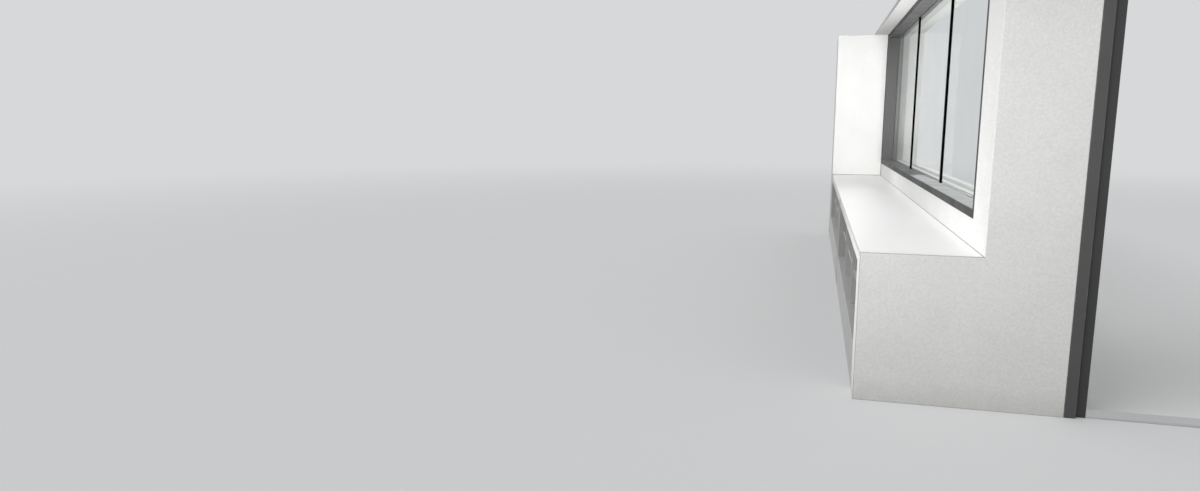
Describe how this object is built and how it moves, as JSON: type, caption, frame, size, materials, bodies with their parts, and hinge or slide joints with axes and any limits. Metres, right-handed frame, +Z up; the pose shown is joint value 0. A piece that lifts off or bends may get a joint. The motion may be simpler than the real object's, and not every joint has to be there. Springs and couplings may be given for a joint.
{
  "type": "shop window wall with display ledge and entrance opening",
  "caption": "Thick plastered wall with a long box-framed window over a display ledge with open shelves, joined at a corner pier to a front wall with a framed entrance opening.",
  "frame": {"origin": "on the floor, at the middle of the bounding box's footprint", "axes": "+X through the window wall to the outside, +Y along the window away from the doorway, +Z up"},
  "size_m": [3.428, 7.89, 3.18],
  "materials": {
    "plaster": "matt white painted plaster",
    "laminate": "white satin laminate board",
    "frame_metal": "dark grey satin powder coat",
    "white_metal": "white satin powder coat",
    "mullion_metal": "black satin powder coat",
    "glass": "clear float glass",
    "gasket": "matt grey rubber",
    "sill_stone": "honed pale stone",
    "pale_metal": "satin anodised",
    "batten_wood": "sawn softwood"
  },
  "bodies": {
    "root": {"wall_below_window": "plaster", "corner_pier": "plaster", "far_pier": "plaster", "far_block": "plaster", "window_beam": "plaster", "door_beam": "plaster", "end_pier": "plaster", "ceiling_margin": "plaster", "ceiling_batten": "batten_wood", "ceiling_trim": "pale_metal", "frame_sill": "frame_metal", "frame_head": "frame_metal", "frame_jamb_near": "frame_metal", "frame_jamb_far": "frame_metal", "mullion_near": "mullion_metal", "mullion_far": "mullion_metal", "pane_near": "glass", "pane_middle": "glass", "pane_far": "glass", "glazing_gaskets": "gasket", "setting_blocks": "gasket", "glazing_beads": "frame_metal", "sill_cover_plates": "frame_metal", "sill_flashing": "white_metal", "outer_sill": "sill_stone", "sill_nose_cap": "white_metal", "ledge_board": "laminate", "ledge_fascia": "laminate", "cheek_near": "plaster", "cheek_middle": "plaster", "cheek_far": "plaster", "plinth_near": "laminate", "plinth_far": "laminate", "bottom_shelf_near": "laminate", "bottom_shelf_far": "laminate", "upper_shelves_near": "laminate", "upper_shelves_far": "laminate", "dividers_near": "laminate", "dividers_far": "laminate", "back_panel_near": "laminate", "back_panel_far": "laminate", "door_jamb_left": "frame_metal", "door_jamb_right": "frame_metal", "door_head": "frame_metal", "door_threshold": "pale_metal"}
  },
  "joints": []
}
